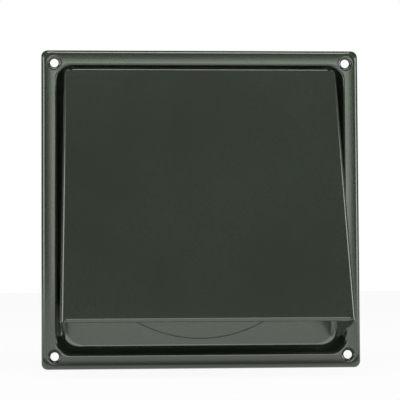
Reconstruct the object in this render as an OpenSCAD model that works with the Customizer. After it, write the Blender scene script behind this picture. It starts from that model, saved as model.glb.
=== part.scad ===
// Wall grille for a range hood duct: a pressed plate with a sunk pan, a folded rain hood that is open
// at the bottom, a duct spigot, and a gravity flap that lies flush in the pan's floor, seats on the
// spigot's ring and hangs on a wire axle behind the floor.
// X points right, Z up and Y into the wall. The wall plane is y = 0, the duct axis is x = z = 0.

/* [Mounting plate] */
// Distance from the inside of the duct to the outline of the square plate
plate_margin = 20; // [19:0.5:35]
// Thickness of the plate's sheet
plate_t = 0.8; // [0.6:0.1:1.2]
// Width of the border, from the plate's outline to the pan's wall
border_w = 9.5; // [8.5:0.5:10.5]
// Corner radius of the plate's outline
outline_corner_r = 3.6; // [2.5:0.1:5]
// Radius of the turned-back rim, over its outside
rim_r = 3.2; // [2:0.1:3.6]
// Corner radius where the border meets the rim
border_corner_r = 7.4; // [5:0.1:10]
// How far the border falls from its inner edge to the rim
border_fall = 0.2; // [0:0.05:0.5]

/* [Pan] */
// Depth of the pan, from the border's face to the pan's floor
pan_depth = 10.5; // [8:0.5:14]
// Radius of the edge between the border and the pan's wall, over its outside
pan_edge_r = 1.6; // [1.3:0.1:2.5]
// Radius between the pan's wall and floor
pan_fillet_r = 3.7; // [2:0.1:4]
// Draft angle of the pan's wall
pan_draft = 7; // [2:0.5:10]
// Corner radius of the pan's mouth
mouth_corner_r = 8.5; // [6:0.5:10]
// Corner radius of the pan's floor
floor_corner_r = 11.5; // [9:0.5:13]
// Space between the pan's floor and the wall, for the rivet tails
floor_gap = 2.4; // [2:0.1:4]

/* [Fixing holes] */
// Distance of a fixing hole's centre from the two edges of the plate beside it
fixing_inset = 7.9; // [7.4:0.1:8.8]
// Diameter of a fixing hole
fixing_d = 5; // [4:0.1:5.5]
// Diameter of the dimple round a fixing hole, at the face
dimple_d = 8; // [7:0.1:8.5]
// Depth of the dimple
dimple_h = 1.5; // [1:0.1:2]

/* [Rain hood] */
// Thickness of the hood's sheet
hood_t = 1; // [0.8:0.1:1.2]
// How far the hood's lower edge stands out in front of the border
hood_out = 45.2; // [36:0.2:62]
// How far the hood's lower edge lies above the pan's bottom wall
outlet_h = 22.2; // [16:0.2:26]
// Gap between the hood's cheeks and the pan's wall
hood_side_gap = 4; // [3.2:0.1:5]
// Gap between the hood's top and the pan's wall
hood_top_gap = 1.8; // [1.5:0.1:3]
// Radius of the folds between the panel and the cheeks, over the outside
hood_fold_r = 2.6; // [1.6:0.1:3.5]
// Inside radius of the hood's small bends
hood_bend_r = 0.5; // [0.3:0.1:1]
// Length of the lip under the panel, square to it
lip_len = 3.2; // [2:0.1:5]
// Length of the flap that is turned into the pan at the hood's top
return_len = 6; // [4:0.5:7.5]
// Width of a foot
foot_w = 14; // [10:0.5:16]
// Length of a foot on the pan's floor
foot_len = 15; // [13:0.5:17]

/* [Rivets] */
// Diameter of a rivet
rivet_d = 3.2; // [2.4:0.1:4]
// Diameter of a rivet's head
rivet_head_d = 6.4; // [5.5:0.1:7.5]
// Diameter of a rivet's tail behind the plate
rivet_tail_d = 4.5; // [4.2:0.1:5.5]
// Height of a rivet's head
rivet_head_h = 1.1; // [0.8:0.1:1.5]
// Height of a rivet's tail behind the plate
rivet_tail_h = 1.6; // [1:0.1:1.8]

/* [Duct spigot] */
// Inside diameter of the duct that slides over the spigot
duct_d = 150; // [125:0.5:151]
// Thickness of the spigot's sheet
spigot_t = 0.6; // [0.5:0.1:1]
// How far the spigot reaches behind the wall plane
spigot_reach = 45; // [30:1:80]
// Width of the ring that is turned out against the pan's floor
ring_w = 6.5; // [6:0.5:9]
// Length of the tapered lead-in at the spigot's end
lead_len = 4; // [2:0.5:8]

/* [Flap] */
// Thickness of the flap's sheet
flap_t = 0.6; // [0.4:0.1:0.6]
// How far the flap laps over the spigot's ring, from the spigot's inside
flap_lap = 3.8; // [2.5:0.1:4.5]
// Gap round the flap, in the opening of the pan's floor
flap_gap = 0.4; // [0.3:0.05:1]
// Length of the two tongues that carry the flap, from its flat top to the knuckles
tongue_len = 8; // [7:0.5:12]
// Depth of the axle behind the face of the pan's floor
axle_depth = 4; // [3.5:0.1:5]
// Diameter of the wire axle
axle_d = 2; // [1.6:0.1:2.4]
// Height of the axle below the top of the spigot's inside
axle_drop = 11.2; // [10:0.2:14]
// Height of a lug that carries the axle
lug_h = 5.8; // [5:0.2:7]
// Width of a hinge knuckle on the flap
knuckle_w = 8; // [5:0.5:10]
// Angle through which a knuckle is curled round the axle
knuckle_curl = 250; // [220:5:270]
// Diameter of a clip on the axle's end
clip_d = 5.6; // [4.6:0.1:6]
// Height of a clip
clip_h = 1.2; // [0.8:0.1:1.6]

/* [Hidden] */
$fn = 96;

paint = [0.24, 0.27, 0.23];
zinc = [0.66, 0.68, 0.7];
steel = [0.75, 0.76, 0.77];

// Small clearances: round a fixed pin, round the turning axle, behind the closed flap, and duct on spigot
pin_gap = 0.05;
run_gap = 0.07;
seat_gap = 0.2;
duct_gap = 0.7;
// Free space beside the knuckles, between the feet and the opening, and from the clips to the spigot
knuckle_gap = 1;
foot_gap = 1;
clip_gap = 1;
// Relief notch in the hood's panel at each end of the lip's bend
lip_relief = 0.3;
// How far a sheet runs into its neighbour where the two are one piece
joined = 0.5;
// Reach of the tools that cut through a sheet
through = 5;
// Steps in a corner, a rim, a bend and a fillet of the plate, and across its border
corner_steps = 6;
rim_steps = 6;
bend_steps = 3;
fillet_steps = 4;
border_steps = 3;
// Largest angle of one step in a folded sheet's bend
bend_step = 12;

// Levels along Y
floor_back_y = -floor_gap;
floor_y = floor_back_y - plate_t;
border_y = floor_y - pan_depth;

// Plate
plate_w = duct_d + 2 * plate_margin;
half_w = plate_w / 2;
fixing_pitch = plate_w - 2 * fixing_inset;
pan_half = half_w - border_w;
border_in = pan_half + pan_edge_r;
border_slope = atan(2 * border_fall / (half_w - rim_r - border_in));
border_out = half_w - rim_r + rim_r * sin(border_slope);
rim_centre_y = border_y + border_fall + rim_r * cos(border_slope);
floor_half = border_in - (pan_edge_r + pan_fillet_r) * cos(pan_draft)
    - tan(pan_draft) * (pan_depth - (pan_edge_r + pan_fillet_r) * (1 - sin(pan_draft)));

// Hood: its panel drops by hood_drop from the top edge to the lower edge, at hood_slope from the wall plane
hood_half = pan_half - hood_side_gap;
hood_top_z = pan_half - hood_top_gap;
hood_drop = hood_top_z + pan_half - outlet_h;
hood_slope = atan(hood_out / hood_drop);
hood_len = norm([hood_out, hood_drop]);
bend_out_r = hood_bend_r + hood_t;
return_setback = bend_out_r * tan((90 - hood_slope) / 2);
fold_flat_half = hood_half - hood_fold_r;

// Round parts on the duct axis
spigot_r = duct_d / 2 - duct_gap;
spigot_in_r = spigot_r - spigot_t;
flap_r = spigot_in_r + flap_lap;
opening_r = flap_r + flap_gap;

// Hinge
axle_r = axle_d / 2;
axle_y = floor_y + axle_depth;
axle_z = spigot_in_r - axle_drop;
knuckle_in_r = axle_r + run_gap;
knuckle_out_r = knuckle_in_r + flap_t;
flap_top_z = axle_z - knuckle_out_r - flap_t - tongue_len;
clip_top_z = axle_z + clip_d / 2;
clip_out_x = sqrt(pow(spigot_in_r - clip_gap, 2) - pow(clip_top_z, 2));
lug_out_x = clip_out_x - clip_h;
lug_in_x = lug_out_x - plate_t;
knuckle_x = lug_in_x - knuckle_gap - knuckle_w;
notch_in_x = knuckle_x - knuckle_gap;
notch_out_x = lug_out_x + plate_t;
opening_top_z = flap_top_z + 2 * flap_gap;

// Feet stand just clear of the opening
foot_in_x = hood_half - foot_len;
foot_near_z = sqrt(max(pow(opening_r + foot_gap, 2) - pow(foot_in_x, 2), foot_w * foot_w));
foot_z = foot_near_z + foot_w / 2;
rivet_r = rivet_d / 2;
rivet_x = foot_in_x + foot_len / 2;

// Samples along one side of a folded sheet. Each step is a straight length, a turn and the turn's inside
// radius. The walked side is the one on the right, and the sheet lies on its left.
function heading(a) = [cos(a), sin(a)];
function leftward(a) = [-sin(a), cos(a)];
function sheet_walk(steps, t, p, a, i = 0) =
    i == len(steps) ? [[p, a]] :
    let (
        turn = steps[i][1],
        q = p + steps[i][0] * heading(a),
        side = sign(turn),
        r = turn > 0 ? steps[i][2] + t : steps[i][2],
        centre = q + side * r * leftward(a),
        n = ceil(abs(turn) / bend_step),
        bend = [for (k = [0:n - 1]) let (b = a + turn * k / n) [centre - side * r * leftward(b), b]],
        end = centre - side * r * leftward(a + turn)
    )
    concat([[p, a]], turn == 0 ? [] : bend, sheet_walk(steps, t, turn == 0 ? q : end, a + turn, i + 1));
function reversed(v) = [for (i = [len(v) - 1:-1:0]) v[i]];

// Cross-section of a sheet of thickness t that starts at p and heads along the angle a
module sheet(steps, t, p, a) {
    s = sheet_walk(steps, t, p, a);
    polygon(concat([for (w = s) w[0]], reversed([for (w = s) w[0] + t * leftward(w[1])])));
}

// Puts a section drawn in (y, z) across X, between the two x values
module across(x0, x1) {
    translate([x0, 0, 0])
        rotate([90, 0, 90])
            linear_extrude(x1 - x0)
                children();
}

// Puts a section drawn in (x, y) along Z, between the two z values
module upward(z0, z1) {
    translate([0, 0, z0])
        linear_extrude(z1 - z0)
            children();
}

// Turns a section drawn as (radius, y) about the line through [x, z] along Y
module turned(x = 0, z = 0) {
    translate([x, 0, z])
        rotate([-90, 0, 0])
            rotate_extrude()
                children();
}

// Repeats its children on the other side of the plate's middle
module both_sides() {
    children();
    mirror([1, 0, 0])
        children();
}

function mix(a, b, f) = a + (b - a) * f;

// The plate's face in section, from the rim's foot to the pan's floor. Each sample holds half the width,
// y, the corner radius, and the direction into the metal.
pan_corner = function(h) mix(mouth_corner_r, floor_corner_r, (border_in - h) / (border_in - floor_half));
face_section = concat(
    [[half_w, 0, outline_corner_r, -1, 0]],
    [for (i = [0:rim_steps]) let (a = (90 - border_slope) * i / rim_steps)
        [half_w - rim_r + rim_r * cos(a), rim_centre_y - rim_r * sin(a),
            mix(outline_corner_r, border_corner_r, i / rim_steps), -cos(a), sin(a)]],
    [for (i = [1:border_steps - 1]) let (f = 1 - i / border_steps, a = atan(f * tan(border_slope)))
        [mix(border_in, border_out, f), border_y + border_fall * f * f,
            mix(mouth_corner_r, border_corner_r, f), -sin(a), cos(a)]],
    [for (i = [0:bend_steps])
        let (a = (90 - pan_draft) * i / bend_steps, h = border_in - pan_edge_r * sin(a))
        [h, border_y + pan_edge_r * (1 - cos(a)), pan_corner(h), sin(a), cos(a)]],
    [for (i = [0:fillet_steps])
        let (a = (90 - pan_draft) * (1 - i / fillet_steps), h = floor_half + pan_fillet_r * sin(a))
        [h, floor_y - pan_fillet_r * (1 - cos(a)), pan_corner(h), sin(a), cos(a)]]
);

// A square ring with round corners, for one sample of the face, sunk into the metal by depth
function ring(s, depth) =
    let (half = s[0] + depth * s[3], y = s[1] + depth * s[4], r = s[2] + depth * s[3])
    [for (q = [0:3], i = [0:corner_steps])
        let (a = 90 * (q + i / corner_steps), c = (half - r) * sqrt(2))
        [c * cos(90 * q + 45) + r * cos(a), y, c * sin(90 * q + 45) + r * sin(a)]];

// Joins a row of rings into one closed skin
module skin(rings) {
    n = len(rings[0]);
    last = len(rings) - 1;
    points = [for (r = rings, p = r) p];
    sides = [for (k = [0:last - 1], i = [0:n - 1])
        let (a = k * n + i, b = k * n + (i + 1) % n)
        each [[a, b, b + n], [a, b + n, a + n]]];
    caps = [[for (i = [n - 1:-1:0]) i], [for (i = [0:n - 1]) last * n + i]];
    polyhedron(points = points, faces = concat(sides, caps));
}

// A round bar along X on the axle's line
module on_axle(r, half) {
    translate([0, axle_y, axle_z])
        rotate([0, 90, 0])
            cylinder(h = 2 * half, r = r, center = true);
}

// One lug, folded back from the pan's floor beside a hinge notch, with a round end about the axle
module lug() {
    difference() {
        upward(axle_z - lug_h / 2, axle_z + lug_h / 2)
            sheet([[joined, -90, plate_t], [axle_depth - 2 * plate_t, 0, 0]],
                plate_t, [notch_out_x + joined, floor_back_y], 180);
        on_axle(axle_r + pin_gap, plate_w);
    }
    difference() {
        intersection() {
            on_axle(lug_h / 2, plate_w);
            translate([lug_in_x, axle_y - joined, 0])
                cube([plate_t, plate_w, plate_w]);
        }
        on_axle(axle_r + pin_gap, plate_w);
    }
}

// Opening in the pan's floor: a round hole with a flat top, and a notch for each hinge knuckle
module floor_opening() {
    translate([0, floor_y - through, 0])
        rotate([-90, 0, 0])
            linear_extrude(2 * through) {
                difference() {
                    circle(opening_r);
                    translate([-plate_w / 2, -plate_w - opening_top_z])
                        square(plate_w);
                }
                for (x = [notch_in_x, -notch_out_x])
                    translate([x, -axle_z - lug_h / 2])
                        square([notch_out_x - notch_in_x, axle_z + lug_h / 2 - opening_top_z + joined]);
            }
}

// Places its children at the four fixing holes
module at_fixings() {
    for (x = [-1, 1], z = [-1, 1])
        translate([x * fixing_pitch / 2, border_y, z * fixing_pitch / 2])
            rotate([-90, 0, 0])
                children();
}

// Places its children at the four rivets, with the face of the foot at y = 0
module at_rivets() {
    for (x = [-1, 1], z = [-1, 1])
        translate([x * rivet_x, floor_y - hood_t, z * foot_z])
            rotate([-90, 0, 0])
                children();
}

module mounting_plate() {
    boss_h = dimple_h + plate_t / 2;
    color(paint) {
        difference() {
            union() {
                skin(concat(
                    reversed([for (s = face_section) ring(s, 0)]),
                    [for (s = face_section) ring(s, plate_t)]
                ));
                at_fixings()
                    translate([0, 0, plate_t / 2])
                        cylinder(h = boss_h, r1 = dimple_d / 2 + plate_t, r2 = fixing_d / 2 + plate_t);
            }
            at_fixings() {
                translate([0, 0, -through])
                    cylinder(h = 2 * through, d = fixing_d);
                translate([0, 0, -border_fall])
                    cylinder(h = dimple_h + border_fall, d1 = dimple_d + border_fall, d2 = fixing_d);
            }
            at_rivets()
                cylinder(h = through, r = rivet_r + pin_gap);
            floor_opening();
        }
        both_sides()
            lug();
    }
}

// Stands its children on the hood's panel: X across, Z down the slope, Y to the outside
module on_panel() {
    translate([0, border_y, hood_top_z])
        rotate([180 - hood_slope, 0, 0])
            children();
}

// Panel and cheeks: one channel down the slope, cut off level with the plate's border
module hood_channel() {
    cheek_len = hood_len * tan(hood_slope) + hood_t - hood_fold_r;
    fold = hood_fold_r - hood_t;
    intersection() {
        on_panel()
            translate([0, 0, return_setback])
                linear_extrude(hood_len - return_setback)
                    sheet([[cheek_len, 90, fold], [2 * fold_flat_half, 90, fold], [cheek_len, 0, 0]],
                        hood_t, [hood_half, -cheek_len - hood_fold_r], 90);
        translate([-plate_w, border_y - 2 * hood_out, -plate_w])
            cube([2 * plate_w, 2 * hood_out, 2 * plate_w]);
    }
}

// One cheek's foot: a tongue down into the pan, folded inwards on its floor
module hood_foot() {
    upward(foot_z - foot_w / 2, foot_z + foot_w / 2)
        sheet([[pan_depth + joined - bend_out_r, 90, hood_bend_r], [foot_len - bend_out_r, 0, 0]],
            hood_t, [hood_half, border_y - joined], 90);
}

module hood() {
    lip_half = fold_flat_half - hood_bend_r - lip_relief;
    cut_half = lip_half + lip_relief;
    color(paint)
        difference() {
            union() {
                difference() {
                    hood_channel();
                    on_panel()
                        translate([-cut_half, -2 * hood_t, hood_len - bend_out_r])
                            cube([2 * cut_half, 4 * hood_t, through]);
                }
                across(-lip_half, lip_half)
                    sheet([[joined, 90, hood_bend_r], [lip_len - bend_out_r, 0, 0]], hood_t,
                        [border_y, hood_top_z] + (hood_len - bend_out_r - joined) * heading(-90 - hood_slope),
                        -90 - hood_slope);
                across(-fold_flat_half + hood_fold_r, fold_flat_half - hood_fold_r)
                    sheet([[joined, hood_slope - 90, hood_bend_r], [return_len - return_setback, 0, 0]],
                        hood_t, [border_y, hood_top_z] + (return_setback + joined) * heading(-90 - hood_slope)
                            + hood_t * heading(-hood_slope),
                        90 - hood_slope);
                both_sides()
                    for (m = [0, 1])
                        mirror([0, 0, m])
                            hood_foot();
            }
            at_rivets()
                translate([0, 0, -through])
                    cylinder(h = 2 * through, r = rivet_r + pin_gap);
        }
}

// Blind rivets through the hood's feet and the pan's floor, domed in front and upset behind
module hood_rivets() {
    head_r = rivet_head_d / 2;
    tail_r = rivet_tail_d / 2;
    grip = hood_t + plate_t;
    dome_r = (head_r * head_r + rivet_head_h * rivet_head_h) / (2 * rivet_head_h);
    color(steel)
        at_rivets()
            rotate_extrude()
                union() {
                    intersection() {
                        translate([0, dome_r - rivet_head_h])
                            circle(dome_r);
                        translate([0, -rivet_head_h])
                            square([head_r, rivet_head_h]);
                    }
                    square([rivet_r, grip]);
                    translate([0, grip])
                        polygon([[0, 0], [tail_r, 0], [tail_r, rivet_tail_h / 2], [rivet_r / 2, rivet_tail_h],
                            [0, rivet_tail_h]]);
                }
}

// Rolled tube with a ring turned out against the back of the pan's floor and a tapered end
module duct_spigot() {
    lead_angle = atan(spigot_t / lead_len);
    bend_in_r = spigot_t;
    wall_len = floor_gap + spigot_reach - lead_len - spigot_t - bend_in_r;
    color(zinc)
        turned()
            sheet([[ring_w - bend_in_r, -90, bend_in_r], [wall_len, lead_angle, 0], [lead_len, 0, 0]],
                spigot_t, [spigot_r + ring_w, floor_back_y + spigot_t], 180);
}

// Round sheet with a flat top edge and two tongues that curl round the axle
module flap() {
    back_y = floor_back_y - seat_gap;
    knuckle = [axle_y - back_y - flap_t, knuckle_curl, knuckle_in_r];
    color(paint) {
        translate([0, back_y - flap_t, 0])
            rotate([-90, 0, 0])
                linear_extrude(flap_t)
                    difference() {
                        circle(flap_r);
                        translate([-plate_w / 2, -plate_w - flap_top_z])
                            square(plate_w);
                    }
        both_sides()
            across(knuckle_x, knuckle_x + knuckle_w)
                sheet([[joined + tongue_len, -90, flap_t], knuckle],
                    flap_t, [back_y, flap_top_z - joined], 90);
    }
}

module flap_axle() {
    color(steel)
        on_axle(axle_r, clip_out_x + axle_r / 2);
}

// Push-on clips that keep the axle in its lugs: a collar that grips the wire and a dished rim round it
module axle_clips() {
    bore_r = axle_r + pin_gap / 2;
    collar_r = 1.5 * axle_r;
    dish_r = 2 * axle_r;
    rim_h = clip_h / 3;
    grip_h = clip_h / 2;
    color(steel)
        both_sides()
            translate([lug_out_x + pin_gap, axle_y, axle_z])
                rotate([0, 90, 0])
                    rotate_extrude()
                        polygon([[bore_r, grip_h], [bore_r, clip_h], [collar_r, clip_h],
                            [clip_d / 2, rim_h], [clip_d / 2, 0], [dish_r, 0]]);
}

mounting_plate();
hood();
hood_rivets();
duct_spigot();
flap();
flap_axle();
axle_clips();
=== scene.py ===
import math

import bmesh
import bpy
from mathutils import Matrix, Vector


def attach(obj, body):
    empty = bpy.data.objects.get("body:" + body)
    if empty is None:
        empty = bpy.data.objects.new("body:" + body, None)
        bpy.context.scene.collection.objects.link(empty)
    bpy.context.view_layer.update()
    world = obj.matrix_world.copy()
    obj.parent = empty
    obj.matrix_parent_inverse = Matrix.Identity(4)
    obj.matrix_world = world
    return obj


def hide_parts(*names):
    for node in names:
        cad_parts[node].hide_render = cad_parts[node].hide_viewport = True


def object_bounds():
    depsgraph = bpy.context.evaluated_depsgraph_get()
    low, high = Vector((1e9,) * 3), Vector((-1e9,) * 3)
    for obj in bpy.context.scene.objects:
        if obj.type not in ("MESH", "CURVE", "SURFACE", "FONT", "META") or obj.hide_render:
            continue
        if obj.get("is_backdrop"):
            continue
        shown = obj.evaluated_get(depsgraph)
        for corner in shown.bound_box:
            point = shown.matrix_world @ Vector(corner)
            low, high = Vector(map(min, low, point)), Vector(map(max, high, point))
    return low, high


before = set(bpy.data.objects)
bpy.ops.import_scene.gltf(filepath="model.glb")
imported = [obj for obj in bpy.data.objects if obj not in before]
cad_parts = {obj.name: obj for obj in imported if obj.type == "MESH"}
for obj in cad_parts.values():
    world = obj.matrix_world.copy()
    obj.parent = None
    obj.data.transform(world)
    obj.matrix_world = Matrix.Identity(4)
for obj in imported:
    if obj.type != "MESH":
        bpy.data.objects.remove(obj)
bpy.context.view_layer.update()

MM = 0.001


# Pressed mounting plate: one square of 0.8 mm sheet, drawn down into a shallow pan, with its rim turned
# back to the wall, a dimpled screw hole in each corner and a round opening in the pan's floor.
# Two lugs are folded back from the opening's notches to carry the flap's axle.
PLATE_T = 0.8
PLATE_HALF = 95.0
BORDER_W = 9.5
PAN_HALF = PLATE_HALF - BORDER_W
FLOOR_Y = -3.2
PAN_DEPTH = 10.5
BORDER_Y = FLOOR_Y - PAN_DEPTH
OUTLINE_CORNER_R = 3.6
BORDER_CORNER_R = 7.4
MOUTH_CORNER_R = 8.5
FLOOR_CORNER_R = 11.5
RIM_R = 3.2
BORDER_FALL = 0.2
PAN_EDGE_R = 1.6
PAN_FILLET_R = 3.7
PAN_DRAFT = math.radians(7)
HOLE_AT = PLATE_HALF - 7.9
HOLE_R = 2.5
DIMPLE_R = 4.4
DIMPLE_H = 1.5
DIMPLE_SHOULDER = 0.66
DIMPLE_SLOPE = 0.32
AXLE_Y = 0.8
AXLE_Z = 62.5
FLAP_R = 77.5
FLAP_TOP_Z = 52.23
FLAP_GAP = 0.4
OPENING_R = FLAP_R + FLAP_GAP
OPENING_TOP_Z = FLAP_TOP_Z + 2 * FLAP_GAP
LUG_HALF = 2.9
LUG_STEPS = 8
LUG_TIP_WIDTH = 0.08
LUG_OUT_X = 30.756
LUG_BEND_R = 2 * PLATE_T
KNUCKLE_X = 20.956
KNUCKLE_GAP = 1.0
NOTCH_TOP_Z = AXLE_Z + LUG_HALF
NOTCH_IN_X = KNUCKLE_X - KNUCKLE_GAP
NOTCH_OUT_X = LUG_OUT_X + PLATE_T


def mix(a, b, f):
    return a * (1 - f) + b * f


def steps(count):
    """Fractions from 0 to 1 in equal steps."""
    return [i / count for i in range(count + 1)]


def arc(centre, r, a0, a1, count):
    """Points of an arc in a plane, with angles in degrees."""
    out = []
    for f in steps(count):
        a = math.radians(mix(a0, a1, f))
        out.append((centre[0] + r * math.cos(a), centre[1] + r * math.sin(a)))
    return out


def plate_section():
    """Half width, y and corner radius of each ring of the plate's face, from the rim's foot to the floor."""
    border_in = PAN_HALF + PAN_EDGE_R
    slope = math.atan(2 * BORDER_FALL / (PLATE_HALF - RIM_R - border_in))
    border_out = PLATE_HALF - RIM_R + RIM_R * math.sin(slope)
    rim_y = BORDER_Y + BORDER_FALL + RIM_R * math.cos(slope)
    bends = PAN_EDGE_R + PAN_FILLET_R
    floor_half = border_in - bends * math.cos(PAN_DRAFT) - math.tan(PAN_DRAFT) * (
        FLOOR_Y - BORDER_Y - bends * (1 - math.sin(PAN_DRAFT)))

    def corner(half):
        return mix(MOUTH_CORNER_R, FLOOR_CORNER_R, (border_in - half) / (border_in - floor_half))

    rings = [(PLATE_HALF, rim_y * (1 - f), OUTLINE_CORNER_R) for f in (1, 0.97, 0.5, 0.04)]
    for f in steps(16):
        a = (math.pi / 2 - slope) * f
        rings.append((PLATE_HALF - RIM_R + RIM_R * math.cos(a), rim_y - RIM_R * math.sin(a),
                      mix(OUTLINE_CORNER_R, BORDER_CORNER_R, f)))
    for f in steps(26)[1:-1]:
        rings.append((mix(border_out, border_in, f), BORDER_Y + BORDER_FALL * (1 - f) ** 2,
                      mix(BORDER_CORNER_R, MOUTH_CORNER_R, f)))
    for f in steps(8):
        a = (math.pi / 2 - PAN_DRAFT) * f
        half = border_in - PAN_EDGE_R * math.sin(a)
        rings.append((half, BORDER_Y + PAN_EDGE_R * (1 - math.cos(a)), corner(half)))
    for f in steps(12):
        a = (math.pi / 2 - PAN_DRAFT) * (1 - f)
        half = floor_half + PAN_FILLET_R * math.sin(a)
        rings.append((half, FLOOR_Y - PAN_FILLET_R * (1 - math.cos(a)), corner(half)))
    return rings


def square_ring(half, r, corner_count=48, side_count=20):
    """Points of a square with round corners, anticlockwise, as (x, z)."""
    ring = []
    for quarter in range(4):
        turn = math.radians(90 * quarter)
        spots = arc((half - r, half - r), r, 0, 90, corner_count)
        spots += [(mix(half - r, r - half, f), half) for f in steps(side_count)[1:-1]]
        ring += [(x * math.cos(turn) - z * math.sin(turn), x * math.sin(turn) + z * math.cos(turn))
                 for x, z in spots]
    return ring


def dimple(x, z):
    """How far the face is pressed in round a screw hole: a shallow slope, then a steep wall."""
    reach = (DIMPLE_R - math.hypot(abs(x) - HOLE_AT, abs(z) - HOLE_AT)) / (DIMPLE_R - HOLE_R)
    reach = min(max(reach, 0.0), 1.0)
    if reach < DIMPLE_SHOULDER:
        return DIMPLE_H * DIMPLE_SLOPE * (reach / DIMPLE_SHOULDER) ** 1.3
    return DIMPLE_H * mix(DIMPLE_SLOPE, 1, (reach - DIMPLE_SHOULDER) / (1 - DIMPLE_SHOULDER))


def grid(bm, rows, closed=False):
    """Faces between rows of vertices."""
    for low, high in zip(rows, rows[1:]):
        count = len(low) if closed else len(low) - 1
        for i in range(count):
            j = (i + 1) % len(low)
            corners = [low[i], low[j], high[j], high[i]]
            if len(set(corners)) == 4:
                bm.faces.new(corners)


def row(bm, points):
    return [bm.verts.new([c * MM for c in p]) for p in points]


def opening_outline():
    """Round hole with a flat top and two notches, as (x, z), and the indices of the two lug edges."""
    chord_x = math.sqrt(OPENING_R ** 2 - OPENING_TOP_Z ** 2)
    start = math.degrees(math.atan2(OPENING_TOP_Z, chord_x))
    points = arc((0, 0), OPENING_R, start, start - 360 + 2 * (90 - start), 220)
    lug_low = AXLE_Z - LUG_HALF
    lug = [(NOTCH_OUT_X, mix(lug_low, NOTCH_TOP_Z, f)) for f in steps(LUG_STEPS)]
    half = lug[::-1] + [(NOTCH_OUT_X, OPENING_TOP_Z)]
    left = [(-x, z) for x, z in half[::-1]]
    left += [(-NOTCH_IN_X, NOTCH_TOP_Z), (-NOTCH_IN_X, OPENING_TOP_Z)]
    right = [(-x, z) for x, z in left[::-1]]
    left_at = len(points) + 1
    points += left
    right_at = len(points) + 2
    points += right
    return points, left_at, right_at


def add_lug(bm, edge, side):
    """Folds a lug back from one edge of the opening: a bend, then a tab with a round end about the axle."""
    rows = [edge]
    bend = arc((NOTCH_OUT_X, FLOOR_Y + LUG_BEND_R), LUG_BEND_R, -90, -180, 8)
    end = bend[-1][0]
    run = [(end, mix(bend[-1][1], AXLE_Y, f)) for f in steps(3)[1:]]
    run += [(end, AXLE_Y + LUG_HALF * math.sin(math.pi / 2 * f)) for f in steps(10)[1:]]
    for x, y in bend[1:] + run:
        over = max(0.0, y - AXLE_Y) / LUG_HALF
        width = math.sqrt(max(0.0, 1 - over * over))
        width = max(width, LUG_TIP_WIDTH)
        rows.append(row(bm, [(side * x, y, AXLE_Z + (v.co.z / MM - AXLE_Z) * width) for v in edge]))
    grid(bm, rows)


def face_front(bm, forward):
    """Gives an open sheet's faces one side, the one that looks along forward on the whole."""
    bmesh.ops.remove_doubles(bm, verts=bm.verts, dist=1e-7)
    bmesh.ops.dissolve_degenerate(bm, edges=bm.edges, dist=1e-7)
    bmesh.ops.recalc_face_normals(bm, faces=bm.faces)
    looks = sum((f.normal * f.calc_area() for f in bm.faces), Vector())
    if looks.dot(Vector(forward)) < 0:
        bmesh.ops.reverse_faces(bm, faces=bm.faces)


def finished(bm, name, material, body, node, sheet=0.0, edge=0.12, angle=50):
    """Makes the piece's object: sheet thickness to the back, softened cut edges and even shading."""
    mesh = bpy.data.meshes.new(name)
    bm.to_mesh(mesh)
    bm.free()
    mesh.shade_smooth()
    piece = bpy.data.objects.new(name, mesh)
    bpy.context.scene.collection.objects.link(piece)
    if sheet:
        solid = piece.modifiers.new("sheet", "SOLIDIFY")
        solid.thickness = sheet * MM
        solid.offset = -1
        solid.use_even_offset = True
        solid.use_quality_normals = True
    if edge:
        soft = piece.modifiers.new("edges", "BEVEL")
        soft.width = edge * MM
        soft.segments = 2
        soft.limit_method = "ANGLE"
        soft.angle_limit = math.radians(angle)
        soft.use_clamp_overlap = True
    even = piece.modifiers.new("shading", "WEIGHTED_NORMAL")
    even.mode = "FACE_AREA"
    even.weight = 60
    mesh.materials.append(material)
    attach(piece, body)
    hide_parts(node)
    return piece


def nodes_of(material):
    material.use_nodes = True
    tree = material.node_tree
    return tree, tree.nodes["Principled BSDF"]


def noise(tree, scale, detail=3.0, rough=0.5):
    """Noise over the row's own coordinates, so that it has one size on every piece."""
    place = tree.nodes.new("ShaderNodeTexCoord")
    out = tree.nodes.new("ShaderNodeTexNoise")
    out.inputs["Scale"].default_value = scale
    out.inputs["Detail"].default_value = detail
    out.inputs["Roughness"].default_value = rough
    tree.links.new(place.outputs["Object"], out.inputs["Vector"])
    return out.outputs["Fac"]


def spread(tree, source, low, high, from_low=0.3, from_high=0.7):
    """Maps a value onto the range from low to high."""
    out = tree.nodes.new("ShaderNodeMapRange")
    for name, value in (("From Min", from_low), ("From Max", from_high), ("To Min", low), ("To Max", high)):
        out.inputs[name].default_value = value
    tree.links.new(source, out.inputs["Value"])
    return out.outputs["Result"]


def blended(tree, factor, a, b):
    """A colour between a and b."""
    out = tree.nodes.new("ShaderNodeMix")
    out.data_type = "RGBA"
    for socket, value in (("A", a), ("B", b)):
        put = [s for s in out.inputs if s.name == socket and s.type == "RGBA"][0]
        if isinstance(value, tuple):
            put.default_value = (*value, 1)
        else:
            tree.links.new(value, put)
    tree.links.new(factor, out.inputs["Factor"])
    return [s for s in out.outputs if s.type == "RGBA"][0]


def bumped(tree, shader, layers):
    """Stacks bumps, each a value, a height in millimetres and a strength."""
    normal = None
    for value, height, strength in layers:
        bump = tree.nodes.new("ShaderNodeBump")
        bump.inputs["Distance"].default_value = height * MM
        bump.inputs["Strength"].default_value = strength
        tree.links.new(value, bump.inputs["Height"])
        if normal:
            tree.links.new(normal, bump.inputs["Normal"])
        normal = bump.outputs["Normal"]
    tree.links.new(normal, shader.inputs["Normal"])


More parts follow.
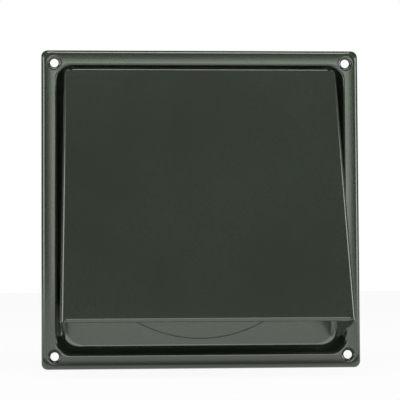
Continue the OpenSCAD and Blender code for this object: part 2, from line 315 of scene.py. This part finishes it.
def satin_paint():
    """Dark grey-green satin paint with a fine fleck, a little thicker and lighter here and there."""
    paint = bpy.data.materials.new("satin_paint")
    tree, shader = nodes_of(paint)
    cloud = noise(tree, 14, 2)
    fleck = noise(tree, 2600, 1)
    shade = blended(tree, spread(tree, cloud, 0, 1), (0.019, 0.026, 0.018), (0.025, 0.033, 0.023))
    flecked = blended(tree, spread(tree, fleck, 0, 0.3, 0.45, 0.75), shade, (0.042, 0.052, 0.038))
    tree.links.new(flecked, shader.inputs["Base Color"])
    tree.links.new(spread(tree, noise(tree, 900, 2), 0.15, 0.20), shader.inputs["Roughness"])
    shader.inputs["Specular IOR Level"].default_value = 1.0
    shader.inputs["Specular Tint"].default_value = (0.90, 1.0, 0.86, 1)
    bumped(tree, shader, [(noise(tree, 420, 2), 0.006, 0.4), (fleck, 0.0015, 0.3)])
    return paint


paint = satin_paint()

bm = bmesh.new()
rings = []
for half, y, r in plate_section():
    rings.append(row(bm, [(x, y + dimple(x, z), z) for x, z in square_ring(half, r)]))
grid(bm, rings, closed=True)
outline, left_at, right_at = opening_outline()
inner = row(bm, [(x, FLOOR_Y, z) for x, z in outline])
rim_edges = [bm.edges.get((rings[-1][i - 1], rings[-1][i])) for i in range(len(rings[-1]))]
hole_edges = [bm.edges.new((inner[i - 1], inner[i])) for i in range(len(inner))]
bmesh.ops.triangle_fill(bm, edges=rim_edges + hole_edges, use_beauty=True, normal=(0, -1, 0))
add_lug(bm, inner[left_at:left_at + LUG_STEPS + 1], -1)
add_lug(bm, inner[right_at:right_at + LUG_STEPS + 1], 1)


def from_hole(point):
    return Vector((abs(point.x) / MM - HOLE_AT, abs(point.z) / MM - HOLE_AT))


punched = [f for f in bm.faces if from_hole(f.calc_center_median()).length < HOLE_R
           and f.calc_center_median().y < (BORDER_Y + 2 * DIMPLE_H) * MM]
bmesh.ops.delete(bm, geom=punched, context="FACES")
for v in [v for v in bm.verts if v.is_boundary]:
    off = from_hole(v.co)
    if 0.5 * HOLE_R < off.length < 1.5 * HOLE_R and v.co.y < FLOOR_Y * MM:
        put = off.normalized() * HOLE_R
        v.co.x = math.copysign((HOLE_AT + put.x) * MM, v.co.x)
        v.co.z = math.copysign((HOLE_AT + put.y) * MM, v.co.z)
        v.co.y = (BORDER_Y + DIMPLE_H) * MM
face_front(bm, (0, -1, 0))
finished(bm, "pressed_plate", paint, "grille", "mounting_plate", sheet=PLATE_T)


# Rain hood: one sheet folded into a sloping panel and two cheeks, open at the bottom. A lip stiffens the
# panel's lower edge, a short flap closes the top, and four feet stand on the pan's floor.
HOOD_T = 1.0
HOOD_HALF = PAN_HALF - 4.0
HOOD_TOP_Z = PAN_HALF - 1.8
HOOD_OUT = 45.2
HOOD_DROP = 147.0
HOOD_SLOPE = math.atan(HOOD_OUT / HOOD_DROP)
HOOD_LEN = math.hypot(HOOD_OUT, HOOD_DROP)
FOLD_R = 2.6
BEND_R = 1.5
LIP_LEN = 3.2
RETURN_LEN = 6.0
RETURN_HALF = HOOD_HALF - 2 * FOLD_R
LIP_HALF = HOOD_HALF - FOLD_R - 0.8
LIP_NOTCH = 0.3
FOOT_Z = 49.46
FOOT_HALF = 7.0
FOOT_END_X = HOOD_HALF - 15.0
FOOT_CORNER_R = 2.5


def on_hood(x, s, depth):
    """A point x across the hood, s down its slope and depth behind its panel's face."""
    return (x, BORDER_Y - s * math.sin(HOOD_SLOPE) + depth * math.cos(HOOD_SLOPE),
            HOOD_TOP_Z - s * math.cos(HOOD_SLOPE) - depth * math.sin(HOOD_SLOPE))


def hood_row(bm, s, panel_xs):
    """One row across the hood's outside, from one cheek's rear edge to the other's."""
    reach = s * math.tan(HOOD_SLOPE)
    turn = math.pi / 2 if reach >= FOLD_R else math.acos(1 - reach / FOLD_R)
    half = []
    for f in steps(10):
        depth = mix(max(reach, FOLD_R * (1 - math.cos(turn))), FOLD_R * (1 - math.cos(turn)), f)
        half.append((HOOD_HALF - FOLD_R * (1 - math.sin(turn)), depth))
    for f in steps(12)[1:]:
        a = min(turn, math.pi / 2 * (1 - f))
        half.append((HOOD_HALF - FOLD_R * (1 - math.sin(a)), FOLD_R * (1 - math.cos(a))))
    points = [on_hood(-x, s, d) for x, d in half]
    points += [on_hood(x, s, 0) for x in panel_xs[1:-1]]
    points += [on_hood(x, s, d) for x, d in half[::-1]]
    return row(bm, points)


def add_foot(bm, edge):
    """A tongue from a cheek's rear edge down to the pan's floor, folded inwards there."""
    rows = [edge]
    side = math.copysign(1, edge[0].co.x)
    middle = math.copysign(FOOT_Z, edge[0].co.z)
    way = [(HOOD_HALF, mix(BORDER_Y, FLOOR_Y - BEND_R, f)) for f in steps(3)[1:]]
    way += arc((HOOD_HALF - BEND_R, FLOOR_Y - BEND_R), BEND_R, 0, 90, 8)[1:]
    way += [(mix(HOOD_HALF - BEND_R, FOOT_END_X + FOOT_CORNER_R, f), FLOOR_Y) for f in steps(3)[1:]]
    way += [(FOOT_END_X + FOOT_CORNER_R * (1 - math.sin(math.pi / 2 * f)), FLOOR_Y) for f in steps(8)[1:]]
    for x, y in way:
        over = max(0.0, FOOT_END_X + FOOT_CORNER_R - x)
        width = 1.0
        if over and y == FLOOR_Y:
            round_end = math.sqrt(max(0.0, FOOT_CORNER_R ** 2 - over ** 2))
            width = (FOOT_HALF - FOOT_CORNER_R + round_end) / FOOT_HALF
        rows.append(row(bm, [(side * x, y, middle + (v.co.z / MM - middle) * width) for v in edge]))
    grid(bm, rows)


bm = bmesh.new()
setback = BEND_R * math.tan((math.pi / 2 - HOOD_SLOPE) / 2)
panel_half = [RETURN_HALF * f for f in steps(14)] + [LIP_HALF, LIP_HALF + LIP_NOTCH, HOOD_HALF - FOLD_R]
panel_xs = [-x for x in panel_half[:0:-1]] + panel_half
lip_at = HOOD_LEN - BEND_R
foot_at = [(HOOD_TOP_Z - z) * math.cos(HOOD_SLOPE) for z in
           (FOOT_Z + FOOT_HALF, FOOT_Z - FOOT_HALF, FOOT_HALF - FOOT_Z, -FOOT_Z - FOOT_HALF)]
fold_full = FOLD_R / math.tan(HOOD_SLOPE)
stops = [setback, fold_full, foot_at[0], foot_at[1], foot_at[2], foot_at[3], lip_at, HOOD_LEN]
counts = [14, 6, 6, 20, 6, 6, 2]
slopes = [setback]
for (a, b), count in zip(zip(stops, stops[1:]), counts):
    slopes += [mix(a, b, f) for f in steps(count)[1:]]
rows = [hood_row(bm, s, panel_xs) for s in slopes]
lip_row = slopes.index(lip_at)
grid(bm, rows)
cut = [f for f in bm.faces if all(v.co.z < on_hood(0, lip_at - 0.01, 0)[2] * MM for v in f.verts)
       and all(abs(v.co.x) < (LIP_HALF + LIP_NOTCH + 0.01) * MM for v in f.verts)
       and f.calc_center_median().y < on_hood(0, lip_at, FOLD_R)[1] * MM]
bmesh.ops.delete(bm, geom=cut, context="FACES")
lip_edge = [v for v in rows[lip_row] if abs(v.co.x) < (LIP_HALF + 0.01) * MM]
lip = [lip_edge]
for f in steps(8)[1:]:
    a = math.pi / 2 * f
    lip.append(row(bm, [on_hood(v.co.x / MM, lip_at + BEND_R * math.sin(a), BEND_R * (1 - math.cos(a)))
                        for v in lip_edge]))
for f in steps(3)[1:]:
    lip.append(row(bm, [on_hood(v.co.x / MM, HOOD_LEN, mix(BEND_R, LIP_LEN, f)) for v in lip_edge]))
grid(bm, lip)
top_edge = [v for v in rows[0] if abs(v.co.x) < (RETURN_HALF + 0.01) * MM]
top = [top_edge]
for f in steps(8)[1:]:
    a = (math.pi / 2 - HOOD_SLOPE) * f
    top.append(row(bm, [on_hood(v.co.x / MM, setback - BEND_R * math.sin(a), BEND_R * (1 - math.cos(a)))
                        for v in top_edge]))
for f in steps(3)[1:]:
    top.append(row(bm, [(v.co.x / MM, BORDER_Y + mix(setback, RETURN_LEN, f), HOOD_TOP_Z)
                        for v in top_edge]))
grid(bm, top)
for low, high in ((foot_at[0], foot_at[1]), (foot_at[2], foot_at[3])):
    picked = rows[slopes.index(low):slopes.index(high) + 1]
    add_foot(bm, [r[0] for r in picked])
    add_foot(bm, [r[-1] for r in picked])
face_front(bm, (0, -1, 0))
finished(bm, "folded_hood", paint, "grille", "hood", sheet=HOOD_T, edge=0.18)


# Blind rivets: four aluminium rivets through the hood's feet and the pan's floor. Each has a domed head
# with the pit of its pulled-off stem in front, and an upset tail behind.
RIVET_R = 1.6
RIVET_HEAD_R = 3.2
RIVET_HEAD_H = 1.1
RIVET_TAIL_R = 2.25
RIVET_TAIL_H = 1.6
RIVET_X = FOOT_END_X + 7.5


def turned(bm, profile, at, axis, count=48):
    """Turns a profile of (radius, along) points about an axis and closes it where the radius is 0."""
    side = axis.orthogonal().normalized()
    other = axis.cross(side)
    rows = []
    for r, along in profile:
        spots = []
        for i in range(count):
            a = 2 * math.pi * i / count
            spots.append(at + axis * along + (side * math.cos(a) + other * math.sin(a)) * r)
        rows.append(row(bm, spots))
    grid(bm, rows, closed=True)


def plain_metal(name, colour, rough, fine):
    """Bare metal with faint drawing marks and cloudy dulling."""
    metal = bpy.data.materials.new(name)
    tree, shader = nodes_of(metal)
    dull = tuple(c * 0.8 for c in colour)
    tree.links.new(blended(tree, spread(tree, noise(tree, fine * 0.1, 3), 0, 1), colour, dull),
                   shader.inputs["Base Color"])
    shader.inputs["Metallic"].default_value = 1
    tree.links.new(spread(tree, noise(tree, fine, 3), rough - 0.06, rough + 0.08),
                   shader.inputs["Roughness"])
    bumped(tree, shader, [(noise(tree, fine * 2, 2), 0.01, 0.5)])
    return metal


bm = bmesh.new()
dome_r = (RIVET_HEAD_R ** 2 + RIVET_HEAD_H ** 2) / (2 * RIVET_HEAD_H)
pit = 0.75
for x in (-RIVET_X, RIVET_X):
    for z in (-FOOT_Z, FOOT_Z):
        profile = [(0.001, -0.35), (pit * 0.8, -0.35)]
        for f in steps(12):
            r = mix(pit, RIVET_HEAD_R, f)
            profile.append((r, dome_r - RIVET_HEAD_H - math.sqrt(dome_r ** 2 - r * r)))
        profile += [(RIVET_HEAD_R - 0.05, 0.0), (RIVET_R, 0.0), (RIVET_R, HOOD_T + PLATE_T)]
        tail = HOOD_T + PLATE_T
        profile += [(RIVET_TAIL_R * 0.93, tail), (RIVET_TAIL_R, tail + 0.2)]
        profile += [(mix(RIVET_TAIL_R, RIVET_R * 0.7, f),
                     tail + mix(0.2, RIVET_TAIL_H, math.sin(math.pi / 2 * f))) for f in steps(8)[1:]]
        profile += [(RIVET_R * 0.45, tail + RIVET_TAIL_H - 0.3), (0.001, tail + RIVET_TAIL_H - 0.3)]
        turned(bm, profile, Vector((x, FLOOR_Y - HOOD_T, z)), Vector((0, 1, 0)), 40)
bmesh.ops.remove_doubles(bm, verts=bm.verts, dist=2e-6)
bmesh.ops.recalc_face_normals(bm, faces=bm.faces)
finished(bm, "blind_rivets", plain_metal("rivet_aluminium", (0.72, 0.73, 0.74), 0.36, 900),
         "grille", "hood_rivets", edge=0.08, angle=40)


# Duct spigot: a tube of zinc-coated sheet, made as one closed ring without a seam, with a ring turned out
# against the back of the pan's floor and a tapered end that leads into the duct.
SPIGOT_R = 74.3
SPIGOT_T = 0.6
SPIGOT_END_Y = 45.0
RING_OUT_R = 80.8
RING_Y = -2.4
LEAD_LEN = 4.0
# Near-black colour of the ring's front face: paint mist plus painted shade, darker than the paint itself.
RING_MIST_AND_SHADE = (0.006, 0.008, 0.006)


def galvanised():
    """Zinc coating with soft spangle. The ring's front face is near black: partly a mist of the front's
    paint, and partly painted shade that keeps the gap round the flap dark.
    """
    zinc = bpy.data.materials.new("galvanised_sheet")
    tree, shader = nodes_of(zinc)
    place = tree.nodes.new("ShaderNodeTexCoord")
    spangle = tree.nodes.new("ShaderNodeTexVoronoi")
    spangle.inputs["Scale"].default_value = 190
    tree.links.new(place.outputs["Object"], spangle.inputs["Vector"])
    grey = tree.nodes.new("ShaderNodeRGBToBW")
    tree.links.new(spangle.outputs["Color"], grey.inputs["Color"])
    bare = blended(tree, spread(tree, grey.outputs["Val"], 0, 1, 0.2, 0.8),
                   (0.50, 0.52, 0.54), (0.62, 0.64, 0.66))
    depth = tree.nodes.new("ShaderNodeSeparateXYZ")
    tree.links.new(place.outputs["Object"], depth.inputs[0])
    # Painted shade: the ring's front face is coloured near black, standing in for the shade in the gap round
    # the flap; paint mist accounts for only part of it.
    mist_and_shade = spread(tree, depth.outputs["Y"], 1, 0, (RING_Y + 0.05) * MM, (RING_Y + 0.3) * MM)
    tree.links.new(blended(tree, mist_and_shade, bare, RING_MIST_AND_SHADE), shader.inputs["Base Color"])
    tree.links.new(spread(tree, mist_and_shade, 0.95, 0.0, 0, 1), shader.inputs["Metallic"])
    tree.links.new(spread(tree, grey.outputs["Val"], 0.36, 0.5, 0.2, 0.8), shader.inputs["Roughness"])
    bumped(tree, shader, [(noise(tree, 60, 2), 0.05, 0.4), (noise(tree, 1500, 2), 0.006, 0.4)])
    return zinc


bm = bmesh.new()
bend_y = RING_Y + 2 * SPIGOT_T
line = [(RING_OUT_R, RING_Y + SPIGOT_T)]
line += arc((SPIGOT_R + SPIGOT_T, bend_y), SPIGOT_T, -90, -180, 5)
line += [(SPIGOT_R, mix(bend_y, SPIGOT_END_Y - LEAD_LEN, f)) for f in steps(6)[1:]]
line += [(SPIGOT_R - SPIGOT_T * f, SPIGOT_END_Y - LEAD_LEN * (1 - f)) for f in steps(3)[1:]]
turned(bm, line, Vector((0, 0, 0)), Vector((0, 1, 0)), 160)
bmesh.ops.recalc_face_normals(bm, faces=bm.faces)
outer = sum((f.normal.dot(f.calc_center_median() * Vector((1, 0, 1))) for f in bm.faces if f.normal.y < 0.5))
if outer < 0:
    bmesh.ops.reverse_faces(bm, faces=bm.faces)
zinc = galvanised()
finished(bm, "rolled_spigot", zinc, "grille", "duct_spigot", sheet=SPIGOT_T)


# Flap: a round of thin painted sheet that lies in the opening and rests on the spigot's ring by its own
# weight. Two tongues at its flat top are curled round the axle.
FLAP_T = 0.6
FLAP_STEPS = 240
FLAP_BACK_Y = -2.6
TONGUE_LEN = 8.0
KNUCKLE_W = 8.0
KNUCKLE_IN_R = 1.07
KNUCKLE_CURL = 250

bm = bmesh.new()
top_x = math.sqrt(FLAP_R ** 2 - FLAP_TOP_Z ** 2)
start = math.degrees(math.atan2(FLAP_TOP_Z, top_x))
edge = arc((0, 0), FLAP_R, start, start - 360 + 2 * (90 - start), FLAP_STEPS)
tongue_xs = [KNUCKLE_X + KNUCKLE_W * f for f in steps(4)]
edge += [(-x, FLAP_TOP_Z) for x in tongue_xs[::-1]] + [(x, FLAP_TOP_Z) for x in tongue_xs]
disc = row(bm, [(x, FLAP_BACK_Y, z) for x, z in edge])
bm.faces.new(disc)
for side in (-1, 1):
    root = sorted((v for v in disc[FLAP_STEPS + 1:] if v.co.x * side > 0), key=lambda v: v.co.x)
    tongue_z = FLAP_TOP_Z + TONGUE_LEN
    way = [(FLAP_BACK_Y, mix(FLAP_TOP_Z, tongue_z, f)) for f in steps(3)[1:]]
    way += arc((FLAP_BACK_Y + FLAP_T, tongue_z), FLAP_T, 180, 90, 5)[1:]
    outside = KNUCKLE_IN_R + FLAP_T
    way += [(mix(FLAP_BACK_Y + FLAP_T, AXLE_Y, f), AXLE_Z - outside) for f in steps(2)[1:]]
    way += arc((AXLE_Y, AXLE_Z), outside, -90, -90 + KNUCKLE_CURL, 28)[1:]
    grid(bm, [root] + [row(bm, [(v.co.x / MM, y, z) for v in root]) for y, z in way])
bmesh.ops.recalc_face_normals(bm, faces=bm.faces)
if max(bm.faces, key=lambda f: f.calc_area()).normal.y < 0:
    bmesh.ops.reverse_faces(bm, faces=bm.faces)
finished(bm, "round_flap", paint, "flap", "flap", sheet=FLAP_T, edge=0.05)


# Axle and clips: a straight drawn wire through the lugs and the flap's knuckles, and a push-on spring
# clip at each end that keeps it in.
AXLE_R = 1.0
AXLE_HALF = 32.456
CLIP_X = 30.806
CLIP_R = 2.8
CLIP_H = 1.2

wire = plain_metal("drawn_wire", (0.66, 0.67, 0.68), 0.30, 1200)
bm = bmesh.new()
end = 0.3
profile = [(0.001, -AXLE_HALF), (AXLE_R - end, -AXLE_HALF)]
profile += [(AXLE_R - end + end * math.sin(math.pi / 2 * f),
             -AXLE_HALF + end * (1 - math.cos(math.pi / 2 * f))) for f in steps(4)[1:]]
profile += [(AXLE_R, mix(-AXLE_HALF + end, 0, f)) for f in steps(5)[1:]]
profile += [(r, -along) for r, along in profile[-2::-1]]
turned(bm, profile, Vector((0, AXLE_Y, AXLE_Z)), Vector((1, 0, 0)), 32)
bmesh.ops.remove_doubles(bm, verts=bm.verts, dist=2e-6)
bmesh.ops.recalc_face_normals(bm, faces=bm.faces)
finished(bm, "wire_axle", wire, "grille", "flap_axle", edge=0)

bm = bmesh.new()
for side in (-1, 1):
    profile = [(AXLE_R + 0.03, CLIP_H / 2), (AXLE_R + 0.03, CLIP_H - 0.1), (AXLE_R + 0.15, CLIP_H),
               (AXLE_R * 1.5, CLIP_H)]
    profile += [(mix(AXLE_R * 1.5, CLIP_R, f), mix(CLIP_H, CLIP_H / 3, f * f)) for f in steps(6)[1:]]
    profile += [(CLIP_R, 0.05), (CLIP_R - 0.1, 0.0), (AXLE_R * 2, 0.0), (AXLE_R + 0.03, CLIP_H / 2)]
    turned(bm, profile, Vector((side * CLIP_X, AXLE_Y, AXLE_Z)), Vector((side, 0, 0)), 36)
bmesh.ops.remove_doubles(bm, verts=bm.verts, dist=2e-6)
bmesh.ops.recalc_face_normals(bm, faces=bm.faces)
finished(bm, "push_on_clips", wire, "grille", "axle_clips", edge=0)


# Stage: a pale floor under the plate's lower edge, soft lamps round the object, and the camera where the
# photograph was taken from, a little left of the middle and below it.
FLOOR_Z = -0.0955
WHITE = (1.0, 1.0, 1.0)
SHOWN_TO = ("Is Camera Ray", "Is Glossy Ray", "Is Transmission Ray")


def either(tree, values):
    """The largest of several values."""
    top = values[0]
    for value in values[1:]:
        larger = tree.nodes.new("ShaderNodeMath")
        larger.operation = "MAXIMUM"
        tree.links.new(top, larger.inputs[0])
        tree.links.new(value, larger.inputs[1])
        top = larger.outputs[0]
    return top


def pale_floor():
    """Pale floor that glows white to the camera and keeps the object's shadow. To reflection rays its glow
    is dimmed in a strip in front of the plate, a painted dark reflection that the plate's lower rims and
    faces mirror.
    """
    pale = bpy.data.materials.new("pale_floor")
    tree, shader = nodes_of(pale)
    out = tree.nodes["Material Output"]
    shader.inputs["Roughness"].default_value = 0.9
    cloud = spread(tree, noise(tree, 40, 3), 0, 1)
    tree.links.new(blended(tree, cloud, (0.93, 0.93, 0.93), (0.95, 0.95, 0.95)),
                   shader.inputs["Base Color"])
    path = tree.nodes.new("ShaderNodeLightPath")
    glow = tree.nodes.new("ShaderNodeEmission")
    glow.inputs["Color"].default_value = (*WHITE, 1)
    place = tree.nodes.new("ShaderNodeTexCoord")
    spot = tree.nodes.new("ShaderNodeSeparateXYZ")
    tree.links.new(place.outputs["Object"], spot.inputs[0])
    # Painted reflection: reflection rays see the floor's glow dimmed to 0.2 where y is between -34 and -22
    # mm, rising to 1.0 behind and 1.25 further out, so the lower rims mirror a dark band.
    near = spread(tree, spot.outputs["Y"], 0.2, 1.0, -0.022, -0.017)
    far = spread(tree, spot.outputs["Y"], 1.25, 0.2, -0.046, -0.034)
    level = tree.nodes.new("ShaderNodeMix")
    tree.links.new(path.outputs["Is Glossy Ray"], level.inputs["Factor"])
    level.inputs["A"].default_value = 1.0
    tree.links.new(either(tree, [near, far]), level.inputs["B"])
    tree.links.new(level.outputs["Result"], glow.inputs["Strength"])
    seen = tree.nodes.new("ShaderNodeMath")
    seen.operation = "MULTIPLY"
    seen.inputs[1].default_value = 0.93
    tree.links.new(either(tree, [path.outputs[n] for n in SHOWN_TO]), seen.inputs[0])
    both = tree.nodes.new("ShaderNodeMixShader")
    tree.links.new(seen.outputs[0], both.inputs[0])
    tree.links.new(shader.outputs[0], both.inputs[1])
    tree.links.new(glow.outputs[0], both.inputs[2])
    tree.links.new(both.outputs[0], out.inputs["Surface"])
    return pale


bm = bmesh.new()
FLOOR_SIDE = 1200
sides = (-FLOOR_SIDE, FLOOR_SIDE)
grid(bm, [row(bm, [(x, y, FLOOR_Z / MM) for x in sides]) for y in sides])
mesh = bpy.data.meshes.new("floor")
bm.to_mesh(mesh)
bm.free()
mesh.materials.append(pale_floor())
floor = bpy.data.objects.new("floor", mesh)
bpy.context.scene.collection.objects.link(floor)
floor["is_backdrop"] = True


def softbox(name, place, size, power, colour=WHITE):
    """An area lamp that looks at the middle of the object."""
    lamp = bpy.data.lights.new(name, "AREA")
    lamp.shape = "RECTANGLE"
    lamp.size, lamp.size_y = size
    lamp.energy = power
    lamp.color = colour
    box = bpy.data.objects.new(name, lamp)
    box.location = place
    box.rotation_mode = "QUATERNION"
    box.rotation_quaternion = (Vector((0, 0, 0)) - Vector(place)).to_track_quat("-Z", "Y")
    box.visible_camera = False
    bpy.context.scene.collection.objects.link(box)
    return box


softbox("front_card", (0.12, -1.35, 0.06), (0.80, 0.75), 4.6)
softbox("left_box", (-1.15, -0.55, 0.10), (0.55, 1.3), 9.5)
softbox("right_box", (1.15, -0.50, 0.05), (0.55, 1.3), 9.5)
softbox("top_box", (0.0, -0.45, 1.20), (1.3, 0.45), 9.0)

world = bpy.data.worlds.new("studio")
bpy.context.scene.world = world
world.use_nodes = True
tree = world.node_tree
back = tree.nodes["Background"]
path = tree.nodes.new("ShaderNodeLightPath")
place = tree.nodes.new("ShaderNodeTexCoord")
way = tree.nodes.new("ShaderNodeSeparateXYZ")
tree.links.new(place.outputs["Generated"], way.inputs[0])
behind = tree.nodes.new("ShaderNodeMath")
behind.operation = "MULTIPLY"
tree.links.new(spread(tree, way.outputs["Y"], 0, 1, 0.86, 0.95), behind.inputs[0])
tree.links.new(path.outputs["Is Glossy Ray"], behind.inputs[1])
seen = either(tree, [path.outputs["Is Camera Ray"], path.outputs["Is Transmission Ray"], behind.outputs[0]])
tree.links.new(spread(tree, seen, 0.14, 1.0, 0, 1), back.inputs["Strength"])
back.inputs["Color"].default_value = (*WHITE, 1)

CAMERA_AT = (-0.0517, -0.5987, -0.0272)
YAW, PITCH, ROLL = math.radians(2.183), math.radians(1.779), math.radians(-0.244)
lens = bpy.data.cameras.new("camera")
lens.lens = 88.912
lens.sensor_width = 36
lens.shift_x = 0.12
lens.shift_y = 0.06
lens.clip_start = 0.01
camera = bpy.data.objects.new("camera", lens)
ahead = Vector((math.sin(YAW) * math.cos(PITCH), math.cos(YAW) * math.cos(PITCH), math.sin(PITCH)))
across = Vector((math.cos(YAW), -math.sin(YAW), 0))
above = across.cross(ahead)
right = across * math.cos(ROLL) + above * math.sin(ROLL)
up = above * math.cos(ROLL) - across * math.sin(ROLL)
camera.matrix_world = Matrix.Translation(CAMERA_AT) @ Matrix((right, up, -ahead)).transposed().to_4x4()
bpy.context.scene.collection.objects.link(camera)
bpy.context.scene.camera = camera
bpy.context.scene.view_settings.view_transform = "Standard"

low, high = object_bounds()
